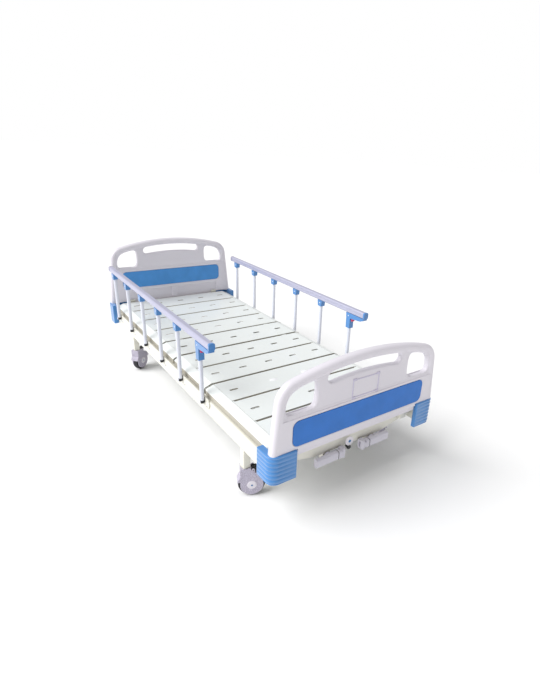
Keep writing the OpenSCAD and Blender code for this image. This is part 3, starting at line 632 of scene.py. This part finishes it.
# the card holder: a thin raised frame with a hook at each corner
card = {"face": -1100.5 * mm, "round": 9 * mm, "border": 9 * mm, "innerRound": 5.5 * mm, "hookHalf": 10 * mm,
        "hookTall": 5 * mm}
low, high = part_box("card_holder")
shape = bmesh.new()
cx, cz = (low.x + high.x) / 2, (low.z + high.z) / 2
wide, tall, face = high.x - low.x, high.z - low.z, card["face"]
rings = [roundRing(wide, tall, card["round"], 6),
         roundRing(wide - card["border"], tall - card["border"], card["innerRound"], 6)]
addPlate(shape, [[(cx + p.x, cz + p.y) for p in ring] for ring in rings], face - 2.4 * mm, face + 1 * mm, 1.1 * mm, 3)
for sx in (-1, 1):
    for sz in (-1, 1):
        x, z = cx + sx * (wide / 2 - 9 * mm), cz + sz * (tall / 2 - 1 * mm)
        addBlock(shape, (x - card["hookHalf"], face - 4.2 * mm, z - card["hookTall"]),
                 (x + card["hookHalf"], face + 1 * mm, z + card["hookTall"]), 1.8, 3)
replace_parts(addPiece("card_frame", shape, "base", "clear_plastic", turnOut=False), "card_holder")

# a pale clip on the inner face of the head board
clip = {"half": 21, "foot": 381, "tall": 78, "thick": 5}
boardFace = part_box("head_board")[0].y
shape = bmesh.new()
addBlock(shape, (-clip["half"] * mm, boardFace - clip["thick"] * mm, clip["foot"] * mm),
         (clip["half"] * mm, boardFace + 8 * mm, (clip["foot"] + clip["tall"]) * mm), 2.4, 3)
addPiece("head_board_clip", shape, "base", "clear_plastic", "abs_shell")
print("frame made")

# deck: rolled edges along the gaps, pressed rims round the slots

# painted shade on the outer skirts starts this far below the deck top
deck = {"shadeBelowTop": 24, "roll": 2.6, "slotRim": 1.4, "borderRound": 4.0, "borderFrom": 0.385, "skirtDepth": 9}
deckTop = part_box("back_slats")[1].z
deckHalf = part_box("back_frame")[1].x


def rolled(edge):
    # the long top edges of the slats
    lowest = min(v.co.z for v in edge.verts)
    return slopes(edge, 0) > 0.95 and lowest > deckTop - 0.5 * mm and edge.calc_length() > 0.3


def paintShadeOn(piece, wanted):
    # painted shade: the upright faces that the caller picks take the darker beige finish in place of the shade that
    # falls on them
    piece.data.materials.append(materials["deck_painted_shade"])
    for face in piece.data.polygons:
        face.material_index = int(abs(face.normal.z) < 0.5 and wanted(face))


# the walls of the slats' gaps and slots get painted shade
for node in ("back_slats", "thigh_slats", "calf_slats"):
    paintShadeOn(softened(node, "deck_paint", ((deck["roll"], 5, rolled), (deck["slotRim"], 3, None))), lambda face: True)

# two raised dimples in the slat next to the knee; their whiter colour is a painted highlight
dimple = {"across": 30, "rise": 4, "stretch": 1.7, "apart": 198, "fromKnee": 110}
kneeY = joints["calf_fold"]["pos_m"][1]
shape = bmesh.new()
for x in (-1, 1):
    spot = Matrix.Translation((x * dimple["apart"] / 2 * mm, kneeY - dimple["fromKnee"] * mm, deckTop)) \
        @ Matrix.Rotation(pi / 2, 4, "X") @ Matrix.Diagonal((dimple["stretch"], 1, 1, 1))
    r, h = dimple["across"] / 2 * mm, dimple["rise"] * mm
    addSpin(shape, [(0, h), (0.45 * r, 0.86 * h), (0.75 * r, 0.5 * h), (r, 0), (r, -1 * mm), (0, -1 * mm)], spot, 32)
addPiece("calf_slat_dimples", shape, "calf_section", "deck_paint", "dimple_gloss_highlight")


def crested(edge):
    # the long top edges of the side borders
    return slopes(edge, 1) > 0.95 and abs(middle(edge).x) > deck["borderFrom"] \
        and middle(edge).z > deckTop - 20 * mm and edge.calc_length() > 0.1


# faces that look into the joins between sections, and the outer skirts below the border, get painted shade
for node in ("back_frame", "thigh_frame", "calf_frame", "seat_deck"):
    paintShadeOn(softened(node, "deck_paint", ((deck["borderRound"], 4, crested), (1.0, 2, None))),
              lambda face: abs(face.normal.y) > 0.7 or face.center.z < deckTop - deck["shadeBelowTop"] * mm
              and abs(face.center.x) > deckHalf - deck["skirtDepth"] * mm)
softened("deck_hinge_pins", "bright_steel", ((0.8, 2, None),))
print("deck made")

# side rails

rail = {"edge": 9, "groove": 1.3, "tube": 10.5 * mm, "plugLength": 15 * mm, "plugWall": 1.1 * mm, "cap": 0.6 * mm,
        "capRound": 9.4}


def handleRims(edge):
    return slopes(edge, 0) < 0.2 and edge.calc_length() > 0.012


for side, sx in sides.items():
    low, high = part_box(side + "_top_bar")
    bar = bmesh.new()
    addBlock(bar, low, high)
    roundEdges(bar, [e for e in bar.edges if slopes(e, 1) > 0.9], rail["edge"], 6)
    for face in [f for f in bar.faces if f.calc_area() > 0.01 and (abs(f.normal.x) > 0.99 or f.normal.z > 0.99)]:
        bmesh.ops.inset_region(bar, faces=[face], thickness=3.5 * mm, use_even_offset=True)
        bmesh.ops.translate(bar, vec=-face.normal * rail["groove"] * mm, verts=face.verts)
    roundEdges(bar, [e for e in sharpEdges(bar) if slopes(e, 1) < 0.2], 1.0, 2)
    body = side + "_top_rail"
    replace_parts(addPiece(side + "_top_bar_profile", bar, body, "rail_aluminium", crease=40), side + "_top_bar")
    softened(side + "_connectors", "blue_plastic", ((2.2, 4, None),))
    softened(side + "_handle", "blue_plastic", ((3.2, 4, handleRims), (0.9, 2, None)))
    softened(side + "_release_button", "red_plastic", ((1.8, 3, None),))
    cap = bmesh.new()
    addBlock(cap, (low.x - rail["cap"], high.y - 8 * mm, low.z - rail["cap"]),
             (high.x + rail["cap"], high.y + 4 * mm, high.z + rail["cap"]))
    roundEdges(cap, [e for e in cap.edges if slopes(e, 1) > 0.9], rail["capRound"], 6)
    roundEdges(cap, [e for e in sharpEdges(cap, 50) if middle(e).y > high.y], 3, 4)
    addPiece(side + "_rail_head_cap", cap, body, "caster_plastic")
    for k in range(1, 7):
        node = f"{side}_upright_{k}"
        softened(node, "rail_aluminium", ((0.7, 2, None),), finish="upright_enamel")
        pivot = pivotOf(side, k)
        plug = bmesh.new()
        r = rail["tube"] + rail["plugWall"]
        place = Matrix.Translation((pivot[0], pivot[1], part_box(node)[0].z)) @ Matrix.Rotation(pi / 2, 4, "X")
        addSpin(plug, [(0, -1.2 * mm), (r - 2 * mm, -1.2 * mm), (r, 1 * mm), (r, rail["plugLength"] - 1 * mm),
                       (r - 0.8 * mm, rail["plugLength"]), (10.4 * mm, rail["plugLength"])], place, 32)
        addPiece(f"{side}_upright_foot_{k}", plug, node, "black_plastic")
print("rails made")

# casters

caster = {"hoodRound": 8, "cheek": 25 * mm, "hubClear": 20 * mm, "cheekTop": 82 * mm, "ringZ": 151.4 * mm,
          "tyre": [(47, -12.6), (55, -14.6), (60.4, -13), (62.4, -8), (62.4, 8), (60.4, 13), (55, 14.6), (47, 12.6),
                   (47, -12.6)],
          "rim": [(6.2, -12.6), (19, -12.6), (23, -8), (42, -8), (47.4, -12.6), (47.4, 12.6), (42, 8), (23, 8),
                  (19, 12.6), (6.2, 12.6), (6.2, -12.6)],
          "axle": [(0, -25.5), (5.4, -25.5), (6, -25), (6, 25), (5.4, 25.5), (0, 25.5)],
          "badge": [(0, 3.4), (12, 3.2), (18, 2.6), (21.5, 1.2), (22, -0.6), (0, -0.6)],
          "badgeRing": [(17.6, 2.2), (18, 3.4), (19.2, 3.1), (19.6, 1.8)],
          "dot": [(0, 3.9), (4.2, 3.8), (5, 3), (0, 3)],
          "bearing": [(11.2, -1.6), (21, -1.6), (22, -0.8), (22, 0.6), (11.2, 0.6)]}


def addTurned(shape, profile, place, steps):
    # a spin whose profile is in millimetres
    addSpin(shape, [(r * mm, h * mm) for r, h in profile], place, steps)


for name in casterNames:
    swivel = Vector(joints[name + "_swivel_turn"]["pos_m"])
    hub = Vector(joints[name + "_wheel_spin"]["pos_m"])
    ahead = Vector((hub.x - swivel.x, hub.y - swivel.y, 0)).normalized()
    across = Vector((0, 0, 1)).cross(ahead)
    place = Matrix.Translation(hub) @ Matrix((ahead, across, Vector((0, 0, 1)))).transposed().to_4x4()
    inward = place.inverted()

    def onCheek(edge):
        # the outline of a cheek, away from its bores and its top
        spot = inward @ middle(edge)
        return all(abs(abs((inward @ v.co).y) - caster["cheek"]) < 0.3 * mm for v in edge.verts) \
            and hypot(spot.x, spot.z) > caster["hubClear"] and spot.z < caster["cheekTop"]

    softened(name + "_caster", "caster_plastic", ((caster["hoodRound"], 5, onCheek), (1.2, 3, None)))
    softened(name + "_brake_pedal", "black_plastic", ((1.6, 3, None),))
    for part, slot in (("tyre", "caster_tyre"), ("rim", "caster_plastic")):
        shape = bmesh.new()
        addTurned(shape, caster[part], place, 64)
        if part == "rim":
            addTurned(shape, caster["axle"], place, 32)
        wheel = addPiece(f"{name}_{part}", shape, name + "_roller", slot)
        if part == "tyre":
            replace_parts(wheel, name + "_wheel")
    for face, turn in (("near", 0), ("far", pi)):
        side = place @ Matrix.Rotation(turn, 4, "Z") @ Matrix.Translation((0, caster["cheek"], 0))
        shape = bmesh.new()
        addTurned(shape, caster["badge"], side, 40)
        addTurned(shape, caster["badgeRing"], side, 40)
        addPiece(f"{name}_hub_{face}", shape, name + "_swivel", "abs_shell")
        shape = bmesh.new()
        addTurned(shape, caster["dot"], side, 24)
        addPiece(f"{name}_hub_dot_{face}", shape, name + "_swivel", "blue_plastic", "hub_dot")
    shape = bmesh.new()  # the bearing ring between the stem and the leg
    spot = Matrix.Translation((swivel.x, swivel.y, caster["ringZ"])) @ Matrix.Rotation(pi / 2, 4, "X")
    addTurned(shape, caster["bearing"], spot, 40)
    addPiece(name + "_bearing_ring", shape, name + "_swivel", "bright_steel")
print("casters made")

# lifting gear and cranks


def gripRims(edge):
    return slopes(edge, 0) < 0.2 and edge.calc_length() > 0.008


for node in ("back_lift_shaft", "leg_lift_shaft", "back_push_tube", "leg_push_tube"):
    softened(node, "gear_paint", ((1.2, 3, None),))
for node in ("back_screw", "leg_screw"):
    softened(node, "bright_steel", ((1.5, 2, None),), finish="screw_thread")
for node in ("back_crank", "leg_crank"):
    softened(node + "_arm", "crank_plastic", ((2.2, 3, None),))
    softened(node + "_grip", "crank_plastic", ((3.5, 4, gripRims), (1.0, 2, None)))
seam = {"from": 34, "width": 2.6, "proud": 0.7}
for side, sx in (("back", -1), ("leg", 1)):  # the joint line between the grip and its hinge end
    low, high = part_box(side + "_crank_grip")
    x = joints[side + "_grip_fold"]["pos_m"][0] + sx * seam["from"] * mm
    shape = bmesh.new()
    proud = seam["proud"] * mm
    addBlock(shape, (x - seam["width"] / 2 * mm, low.y - proud, low.z - proud),
             (x + seam["width"] / 2 * mm, high.y + proud, high.z + proud))
    roundEdges(shape, [e for e in shape.edges if slopes(e, 0) > 0.9], 8, 4)
    addPiece(side + "_grip_seam", shape, side + "_grip", "caster_tyre")
print("gear made")

# small fittings

fitting = {"badgeX": -27 * mm, "badgeZ": 282 * mm, "knobZ": 250 * mm,
           "badge": [(0, 3.2), (15.5, 3.2), (16.5, 4.4), (20.5, 4.2), (22, 2.6), (22, -0.5), (0, -0.5)],
           "dot": [(0, 4.2), (6.5, 4.1), (7.5, 3), (0, 3)],
           "knob": [(0, 14), (9, 13), (11, 10), (11, 4), (8, 1), (8, -8), (0, -8)]}
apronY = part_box("mounting_blocks")[0].y
facingOut = Matrix.Rotation(pi, 4, "Z")
for name, part, slot, finish, y, z in (("apron_badge", "badge", "abs_shell", None, 0, fitting["badgeZ"]),
                                       ("apron_badge_dot", "dot", "blue_plastic", "hub_dot", 0, fitting["badgeZ"]),
                                       ("apron_knob", "knob", "black_plastic", None, 8 * mm, fitting["knobZ"])):
    shape = bmesh.new()
    addTurned(shape, fitting[part], Matrix.Translation((fitting["badgeX"], apronY + y, z)) @ facingOut, 40)
    addPiece(name, shape, "base", slot, finish)
print("fittings made")

# floor, light and camera

studio = {"world": 0.48, "sun": 3.0, "softness": 50, "shines": (0.85, -0.22, -0.85), "floor": 0.96,
          "eye": (-1.25049, -2.33095, 1.45754), "turn": -29.19, "tilt": 66.22, "roll": -8.89, "lens": 23.66,
          "shift": (-0.0721, 0.0067)}
floorShape = bmesh.new()
bmesh.ops.create_grid(floorShape, x_segments=1, y_segments=1, size=120)
floorMesh = bpy.data.meshes.new("floor")
floorShape.to_mesh(floorMesh)
floorShape.free()
floor = bpy.data.objects.new("floor", floorMesh)
scene.collection.objects.link(floor)
floorFinish = bpy.data.materials.new("pale_floor")
floorFinish.use_nodes = True
floorShader = floorFinish.node_tree.nodes["Principled BSDF"]
floorShader.inputs["Base Color"].default_value = (studio["floor"], studio["floor"], studio["floor"], 1)
floorShader.inputs["Roughness"].default_value = 0.9
floorShader.inputs["Specular IOR Level"].default_value = 0.1
floorMesh.materials.append(floorFinish)

world = bpy.data.worlds.new("studio")  # a white room that lights the bed less than the camera sees
scene.world = world
world.use_nodes = True
tree = world.node_tree
background = tree.nodes["Background"]
background.inputs["Color"].default_value = (1, 1, 1, 1)
cameraRay = addNode(tree, "LightPath").outputs["Is Camera Ray"]
strength = addNode(tree, "MapRange", {"Value": cameraRay, "To Min": studio["world"], "To Max": 1.0})
tree.links.new(strength.outputs[0], background.inputs["Strength"])

lamp = bpy.data.lights.new("skylight", "SUN")  # a wide soft light from above on the left, a little behind
lamp.energy, lamp.angle = studio["sun"], radians(studio["softness"])
light = bpy.data.objects.new("skylight", lamp)
light.rotation_euler = Vector(studio["shines"]).to_track_quat("-Z", "Y").to_euler()
scene.collection.objects.link(light)

cam = bpy.data.cameras.new("camera")
cam.lens, cam.sensor_width, cam.sensor_fit = studio["lens"], 36, "AUTO"
cam.shift_x, cam.shift_y = studio["shift"]
cam.clip_start, cam.clip_end = 0.05, 200
camera = bpy.data.objects.new("camera", cam)
camera.matrix_world = Matrix.Translation(studio["eye"]) @ Matrix.Rotation(radians(studio["turn"]), 4, "Z") \
    @ Matrix.Rotation(radians(studio["tilt"]), 4, "X") @ Matrix.Rotation(radians(studio["roll"]), 4, "Y")
scene.collection.objects.link(camera)
scene.camera = camera
scene.view_settings.view_transform = "Standard"
print("studio ready")
